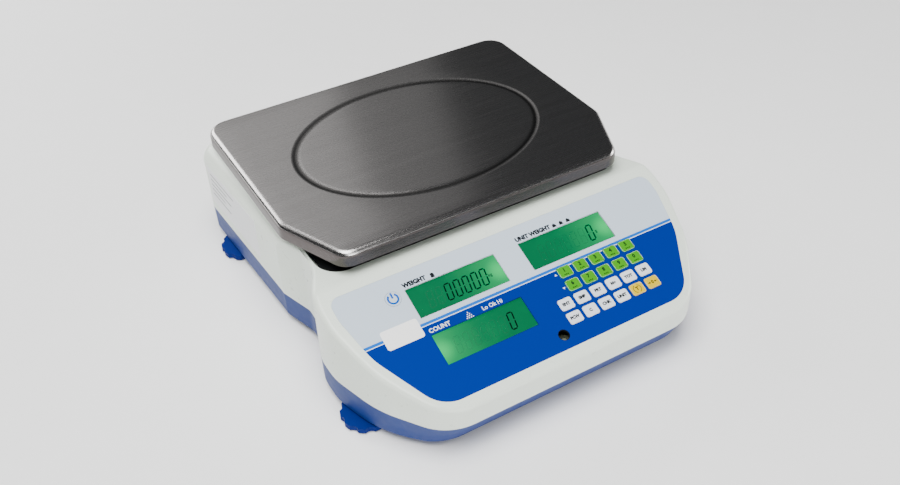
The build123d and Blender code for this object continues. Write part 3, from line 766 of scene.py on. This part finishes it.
# ---------------------------------------------------------------- print on the overlay
captions = (  # piece, text, left end across, middle up the slope, height, ink, weight
    ("caption_weight", "WEIGHT", -90.0, -12.0, 3.5, dark_ink, 0.09),
    ("caption_unit_weight", "UNIT WEIGHT", 9.8, -12.0, 3.5, dark_ink, 0.09),
    ("caption_count", "COUNT", -90.0, -53.2, 3.4, white_ink, 0.04),
    ("caption_limits", "Lo Ok Hi", -45.0, -53.2, 3.2, white_ink, 0.03),
)
marks_v = -12.3  # the status marks' middle, up the slope
battery_x = -65.0
weights_x = 46.0
weights_pitch = 6.6
pile_x = -56.5  # the pile's top piece
pile_v = -51.2
pile_pitch = 1.7
pile_rise = 1.45
arrow_off = 8.6  # left of the row's first key
window_line = 0.5
window_gap = 0.3  # what the black line's path adds to the window's size


def print_on_film(name, parts, finish):
    """Marks made one piece of the overlay's print."""
    piece(mesh_object(name, join_meshes(parts), finish), "housing", "overlay_film")


def print_captions():
    """The captions, and small marks beside them and beside the rows of digit keys."""
    for name, text, x, v, height, finish, weight in captions:
        mesh = lettering(text, height, weight, align="LEFT")
        mesh.transform(face_matrix(x, v, print_lift))
        piece(add_object(name, mesh, finish), "housing", "overlay_film")

    marks = [(battery_mark(), face_matrix(battery_x, marks_v, print_lift), 0)]
    for index in range(3):
        marks.append((weight_mark(), face_matrix(weights_x + weights_pitch * index, marks_v, print_lift), 0))
    print_on_film("status_marks", marks, dark_ink)

    dots = []
    for row in range(4):
        for column in range(row + 1):
            x = pile_x + (column - row / 2) * pile_pitch
            place = face_matrix(x, pile_v - pile_rise * row, print_lift)
            dots.append((flat_solid(circle(0.5, 12)), place, 0))
    print_on_film("pile_mark", dots, white_ink)

    arrows = []
    for key, tip in (("key_1", 1), ("key_6", -1)):
        x, v = face_place(key)
        shape = flat_solid([(-1.2, -tip * 0.7), (1.2, -tip * 0.7), (0, tip * 1.1)])
        arrows.append((shape, face_matrix(x - arrow_off, v, print_lift), 0))
    print_on_film("row_arrows", arrows, white_ink)


def battery_mark():
    return flat_solid([(-1.5, -2.0), (1.5, -2.0), (1.5, 1.6), (0.6, 1.6), (0.6, 2.1),
                       (-0.6, 2.1), (-0.6, 1.6), (-1.5, 1.6)])


def weight_mark():
    return flat_solid([(-2.0, -1.5), (2.0, -1.5), (1.3, 1.1), (0.6, 1.1), (0.6, 1.8), (-0.6, 1.8),
                       (-0.6, 1.1), (-1.3, 1.1)])


def outline_displays():
    """A thin black line round each display window."""
    for node in ("lcd_weight", "lcd_unit_weight", "lcd_count"):
        x, v = face_place(node)
        line = outline_mesh(window_width + window_gap, window_depth + window_gap, window_gap,
                            window_line, print_sheet, dark_ink)
        line.transform(face_matrix(x, v, print_lift))
        piece(add_object("outline_" + node, line), "housing", "overlay_film")


label_margin = 6.0  # before the rules start
rules_top = 13.0  # the first rule, above the label's middle
rule_pitch = 5.2
rule_half = 0.5
rule_shares = (0.5, 0.34, 0.42, 0.28, 0.38)  # each rule's length, against the label's


def rule_side_label():
    """Plain grey rules where a rating plate's lines would be."""
    low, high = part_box("side_label")
    length = (high.y - low.y) / MM
    lean = atan2(high.x - low.x - label_sheet * MM, high.y - low.y)
    along = Vector((sin(lean), -cos(lean), 0))
    outward = Vector((-cos(lean), -sin(lean), 0))
    turn = Matrix((along, Vector((0, 0, 1)), outward)).transposed().to_4x4()
    middle = (low + high) / 2 + outward * (label_sheet / 2 + print_lift) * MM
    place = Matrix.Translation(middle) @ turn
    rules = []
    for row, share in enumerate(rule_shares):
        left, rise = -length / 2 + label_margin, rules_top - rule_pitch * row
        rule = rectangle(left, rise - rule_half, left + length * share, rise + rule_half)
        rules.append((flat_solid(rule), place, 0))
    piece(mesh_object("label_rules", join_meshes(rules), grey_ink), "housing", "label_white")


# ---------------------------------------------------------------- weighing pan
corner_step = 5  # degrees between a corner's points
corner_least = 6  # steps that any corner gets
parallel_below = 1e-12  # a ray and an edge that cross by less than this don't meet
end_slack = 1e-9  # how far past an edge's end still counts as on it


def rounded_polygon(corners, inset):
    """Points round a convex outline with rounded corners, drawn in by inset."""
    count = len(corners)
    points = []
    for i in range(count):
        radius = corners[i][2]
        before, here, after = (Vector(corners[j % count][:2]) for j in (i - 1, i, i + 1))
        into, away = (here - before).normalized(), (after - here).normalized()
        turn = into.angle(away)
        start = here - into * radius * tan(turn / 2)
        centre = start + Vector((-into.y, into.x)) * radius
        begin = atan2((start - centre).y, (start - centre).x)
        steps = max(corner_least, round(turn / radians(corner_step)))
        for k in range(steps + 1):
            a = begin + turn * k / steps
            reach = radius - inset
            points.append(Vector((centre.x + reach * cos(a), centre.y + reach * sin(a))))
    return points + points[:1]


def build_pan():
    """The pressed pan: smooth ring, rounded edges, turned-down flange and its underside."""
    low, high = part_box("weighing_pan")
    half = (high.x - low.x) / 2 / MM
    front, rear, top = low.y / MM, high.y / MM, high.z / MM
    middle = (front + rear) / 2
    corners = [
        (half - pan_chamfer_width, front, pan_front_radius),
        (half, front + pan_chamfer_depth, pan_front_radius),
        (half, rear, pan_rear_radius), (-half, rear, pan_rear_radius),
        (-half, front + pan_chamfer_depth, pan_front_radius),
        (-(half - pan_chamfer_width), front, pan_front_radius),
    ]
    angles = [-pi + 2 * pi * k / pan_steps for k in range(pan_steps)]

    def outline(inset):
        """Points at fixed angles from the pan's middle, on the outline drawn in by inset."""
        points = rounded_polygon(corners, inset)
        return [hit(points, angle, middle) for angle in angles]

    def ellipse(outset):
        """Points at the same angles on the groove's middle line, let out by outset."""
        ring = []
        for angle in angles:
            along = Vector((cos(angle), sin(angle)))
            reach = 1 / ((along.x / (ring_half_width + outset)) ** 2
                         + (along.y / (ring_half_depth + outset)) ** 2) ** 0.5
            ring.append(Vector((along.x * reach, middle + along.y * reach)))
        return ring

    def profile(shift, drop, radius):
        """Rings of one side of the sheet, from the middle out: (points, height)."""
        rings = [([Vector((p.x * share, middle + (p.y - middle) * share)) for p in ellipse(0)], top - drop)
                 for share in disc_shares]
        for k in range(-ring_steps, ring_steps + 1):
            t = k / ring_steps
            sink = ring_drop * (0.5 + 0.5 * cos(pi * t))
            rings.append((ellipse(t * ring_reach), top - drop - sink))
        inner, outer = ellipse(ring_reach + ring_margin), outline(pan_edge + edge_margin)
        for share in land_shares:
            rings.append(([a.lerp(b, share) for a, b in zip(inner, outer)], top - drop))
        for k in range(fillet_steps + 1):
            a = pi / 2 * k / fillet_steps
            rings.append((outline(pan_edge - radius * sin(a)), top - pan_edge + radius * cos(a)))
        rings.append((outline(shift), top - pan_flange))
        return rings

    bm = bmesh.new()

    def skin(rings, flip, outer_bands):
        """One side's faces, the outermost bands in the darker steel copy of painted shade; gives the last ring."""
        rows = [[bm.verts.new((p.x * MM, p.y * MM, z * MM)) for p in ring] for ring, z in rings]
        hub = bm.verts.new((0, middle * MM, rings[0][1] * MM))
        first_outer = len(rows) - 1 - outer_bands
        for k in range(pan_steps):
            n = (k + 1) % pan_steps
            face = (hub, rows[0][k], rows[0][n])
            bm.faces.new(face[::-1] if flip else face)
            for index, (a, b) in enumerate(zip(rows, rows[1:])):
                face = (a[k], b[k], b[n], a[n])
                made = bm.faces.new(face[::-1] if flip else face)
                made.material_index = 1 if index >= first_outer else 0
        return rows[-1]

    upper_rings = profile(0.0, 0.0, pan_edge)
    lower_rings = profile(pan_sheet, pan_sheet, pan_edge - pan_sheet)
    upper = skin(upper_rings, False, painted_shade_bands)
    # the whole underside takes the darker steel copy: painted shade
    lower = skin(lower_rings, True, len(lower_rings) - 1)
    for k in range(pan_steps):
        n = (k + 1) % pan_steps
        bm.faces.new((upper[k], lower[k], lower[n], upper[n]))
    bmesh.ops.recalc_face_normals(bm, faces=bm.faces)
    pressed = mesh_object("pressed_pan", bm, pan_steel, flange_painted_shade_steel, smooth=50)
    piece(pressed, "pan", "pan_steel", "weighing_pan")


def hit(points, want, middle):
    """Where a ray at an angle from the middle meets a closed polyline."""
    ray = Vector((cos(want), sin(want)))
    centre = Vector((0, middle))
    best = None
    for a, b in zip(points, points[1:]):
        edge = b - a
        cross = ray.x * edge.y - ray.y * edge.x
        if abs(cross) < parallel_below:
            continue
        gap = a - centre
        t = (gap.x * edge.y - gap.y * edge.x) / cross
        s = (gap.x * ray.y - gap.y * ray.x) / cross
        if t > 0 and -end_slack <= s <= 1 + end_slack:
            best = t if best is None else max(best, t)
    return centre + ray * best


# ---------------------------------------------------------------- rear sockets, load cell and level
socket_depth = 9.0
pin_steps = 24
pin_profile = ((1.0, 0.0), (1.0, 6.6), (0.85, 7.2), (0.5, 7.6), (0.05, 7.7))  # radius, from its root
port_cut = 1.1  # the port's cut corners
port_taper = 0.9  # how much narrower it is below, on each side
rim_size = (18.4, 9.6, 0.3)  # width, height, sheet
insert_size = (16.2, 7.6, 0.1)
insert_out = 0.33
nut_radius = 2.3
nut_sheet = 0.4
nut_off = 12.5
contact_pitch = 2.77
contact_radius = 0.5
contact_sheet = 0.06
contact_out = 0.4
contact_rows = ((5, 1.4), (4, -1.4))  # count, height above the port's middle
sleeve_steps = 48
sleeve_profile = ((4.55, -0.1), (4.25, -0.1), (4.25, -2.4), (4.55, -2.4))  # radius, out of the face
bubble_radius = 2.1
bubble_flatness = 0.3
bubble_off = (0.6, 0.3)
level_ring_radius = 3.0
level_ring_line = 0.35


def build_supply_pin():
    """The socket's centre pin with a rounded tip."""
    low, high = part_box("dc_jack")
    middle = (low + high) / 2
    bm = bmesh.new()
    rows = []
    for radius, out in pin_profile:
        angles = [2 * pi * k / pin_steps for k in range(pin_steps)]
        depth = high.y + (out - socket_depth) * MM
        rows.append([bm.verts.new((middle.x + radius * MM * cos(a), depth, middle.z + radius * MM * sin(a)))
                     for a in angles])
    skin_between(bm, rows)
    bm.faces.new(rows[0])
    bm.faces.new(rows[-1])
    bmesh.ops.recalc_face_normals(bm, faces=bm.faces)
    piece(mesh_object("supply_pin", bm, plated, smooth=40), "housing", "connector_metal")


def build_level_sleeve():
    """Dark sleeve that lines the level's hole."""
    bm = bmesh.new()
    rings = []
    for radius, out in sleeve_profile:
        rings.append([bm.verts.new((x * MM, y * MM, out * MM)) for x, y in circle(radius, sleeve_steps)])
    skin_between(bm, rings + rings[:1])
    bmesh.ops.recalc_face_normals(bm, faces=bm.faces)
    bm.transform(face_matrix(0, level_v))
    piece(mesh_object("level_sleeve", bm, dark_ink, smooth=40), "housing", "vial")


def build_level_bubble():
    """Bubble and centring ring at the vial's top."""
    low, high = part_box("level_vial")
    middle = (low + high) / 2
    bm = bmesh.new()
    bmesh.ops.create_uvsphere(bm, u_segments=28, v_segments=14, radius=bubble_radius * MM)
    bmesh.ops.scale(bm, vec=(1, 1, bubble_flatness), verts=bm.verts)
    off_x, off_y = bubble_off
    bmesh.ops.translate(bm, vec=(middle.x + off_x * MM, middle.y + off_y * MM, high.z), verts=bm.verts)
    bubble = Finish("bubble_plastic", srgb(96, 100, 88), Roughness=0.12)
    bubble.set("Base Color", bubble.mix(bubble.noise(2.0), srgb(84, 88, 78), srgb(112, 116, 104)))
    piece(mesh_object("level_bubble", bm, bubble.material, smooth=60), "housing", "vial")
    ring = flat_solid(arc_band(level_ring_radius, level_ring_line, 0, 359, 48))
    ring.transform(Matrix.Translation((middle.x, middle.y, high.z + print_sheet * MM)))
    piece(add_object("level_ring", ring, dark_ink), "housing", "vial")


def rear_matrix(x, z, y):
    """Places a flat piece on the rear wall, seen from behind; the place is in metres."""
    turn = Matrix((Vector((-1, 0, 0)), Vector((0, 0, 1)), Vector((0, 1, 0)))).transposed().to_4x4()
    return Matrix.Translation((x, y, z)) @ turn


def port_outline(width, height):
    """The plug's shape: wide above, narrower below, with cut corners."""
    top, bottom, tall = width / 2, width / 2 - port_taper, height / 2
    right = [(bottom - port_cut, -tall), (bottom, -tall + port_cut),
             (top, tall - port_cut), (top - port_cut, tall)]
    return right + [(-x, y) for x, y in reversed(right)]


def build_port_face():
    """Metal rim, dark insert, nine contacts in two rows, and the two jack nuts."""
    low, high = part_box("data_port")
    x, z, face = (low.x + high.x) / 2, (low.z + high.z) / 2, high.y
    rim_width, rim_height, rim_sheet = rim_size
    rim = flat_solid(port_outline(rim_width, rim_height), rim_sheet)
    parts = [(rim, rear_matrix(x, z, face + rim_sheet / 2 * MM), 0)]
    for side in (-1, 1):
        nut = flat_solid(circle(nut_radius, 6), nut_sheet)
        parts.append((nut, rear_matrix(x + side * nut_off * MM, z, face + nut_sheet / 2 * MM), 0))
    piece(mesh_object("port_rim", join_meshes(parts), plated), "housing", "connector_metal")
    insert_width, insert_height, insert_sheet = insert_size
    insert = flat_solid(port_outline(insert_width, insert_height), insert_sheet)
    insert.transform(rear_matrix(x, z, face + insert_out * MM))
    piece(add_object("port_insert", insert, dark_ink), "housing", "connector_black")
    for row, (count, rise) in enumerate(contact_rows):
        contact = flat_solid(circle(contact_radius, 12), contact_sheet)
        contacts = row_mesh(count, contact_pitch, contact, brass)
        start = x + contact_pitch * (count - 1) / 2 * MM
        contacts.transform(rear_matrix(start, z + rise * MM, face + contact_out * MM))
        piece(add_object("port_contacts_%d" % (row + 1), contacts), "housing", "connector_metal")


def build_bending_cell():
    """The load cell, copied onto the housing in place of its CAD node."""
    cell = add_object("bending_cell", frame["nodes"]["load_cell"].data.copy())
    piece(cell, "housing", "cell_aluminium", "load_cell")
    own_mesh(cell)


# ---------------------------------------------------------------- stage, lights and camera
floor_half = 6.0
world_colour = (0.9, 0.95, 1.0, 1)
world_strength = 0.06
lights = (  # name, place, aim, width, height, power
    ("key_light", (-0.4, -0.35, 1.75), (0, 0, 0.05), 1.2, 1.3, 62),
    ("pan_light", (0.1, 1.5, 1.15), (0, 0, 0.1), 0.9, 0.8, 1.1),
    ("pan_fade", (0.15, 1.45, 1.1), (0, 0, 0.1), 1.3, 0.8, 0.8),
    ("back_light", (-0.6, 1.5, 0.75), (0, 0.1, 0.08), 0.9, 0.7, 20),
    ("front_light", (-0.15, -1.7, 0.5), (0, -0.1, 0.05), 1.0, 0.6, 16),
    ("right_light", (1.9, -0.5, 0.45), (0, -0.1, 0.05), 0.8, 0.6, 20),
)


def build_floor():
    """A plain pale floor."""
    bm = bmesh.new()
    bmesh.ops.create_grid(bm, x_segments=2, y_segments=2, size=floor_half)
    paper = Finish("pale_paper", srgb(250, 250, 250), Roughness=0.85)
    paper.set("Base Color", paper.mix(paper.noise(30.0), srgb(248, 248, 247), srgb(252, 252, 252)))
    mesh_object("floor", bm, paper.material)


def area_light(name, place, aim, width, height, power):
    """A soft rectangular light that points at a spot."""
    data = bpy.data.lights.new(name, "AREA")
    data.shape, data.size, data.size_y = "RECTANGLE", width, height
    data.energy = power
    light = bpy.data.objects.new(name, data)
    light.location = place
    light.rotation_euler = (Vector(aim) - Vector(place)).to_track_quat("-Z", "Y").to_euler()
    bpy.context.scene.collection.objects.link(light)


def build_lights():
    """The studio's lights and its dim, slightly cool surroundings."""
    world = bpy.data.worlds.new("studio")
    world.use_nodes = True
    surroundings = world.node_tree.nodes["Background"]
    surroundings.inputs["Color"].default_value = world_colour
    surroundings.inputs["Strength"].default_value = world_strength
    bpy.context.scene.world = world
    for light in lights:
        area_light(*light)


camera_place = (-0.326997, -0.575353, 0.572606)
camera_azimuth = -29.394
camera_elevation = 39.164
camera_roll = -1.995
camera_lens = 39.6
sensor_width = 36.0


def build_camera():
    """Camera looking down on the console from its left front."""
    az, el, roll = (radians(a) for a in (camera_azimuth, camera_elevation, camera_roll))
    back = Vector((sin(az) * cos(el), -cos(az) * cos(el), sin(el)))
    right = Vector((0, 0, 1)).cross(back).normalized()
    up = back.cross(right)
    across = right * cos(roll) + up * sin(roll)
    upward = -right * sin(roll) + up * cos(roll)
    data = bpy.data.cameras.new("camera")
    data.lens, data.sensor_width = camera_lens, sensor_width
    camera = bpy.data.objects.new("camera", data)
    turn = Matrix((across, upward, back)).transposed().to_4x4()
    camera.matrix_world = Matrix.Translation(camera_place) @ turn
    bpy.context.scene.collection.objects.link(camera)
    bpy.context.scene.camera = camera


build_camera()
build_lights()
build_floor()
finish_cad_nodes()
build_pan()
decorate_keys()
dress_display("lcd_weight", 5, "kg")
dress_display("lcd_unit_weight", 1, "g")
dress_display("lcd_count", 1, "")
print_captions()
outline_displays()
rule_side_label()
build_supply_pin()
build_port_face()
build_bending_cell()
build_level_sleeve()
build_level_bubble()
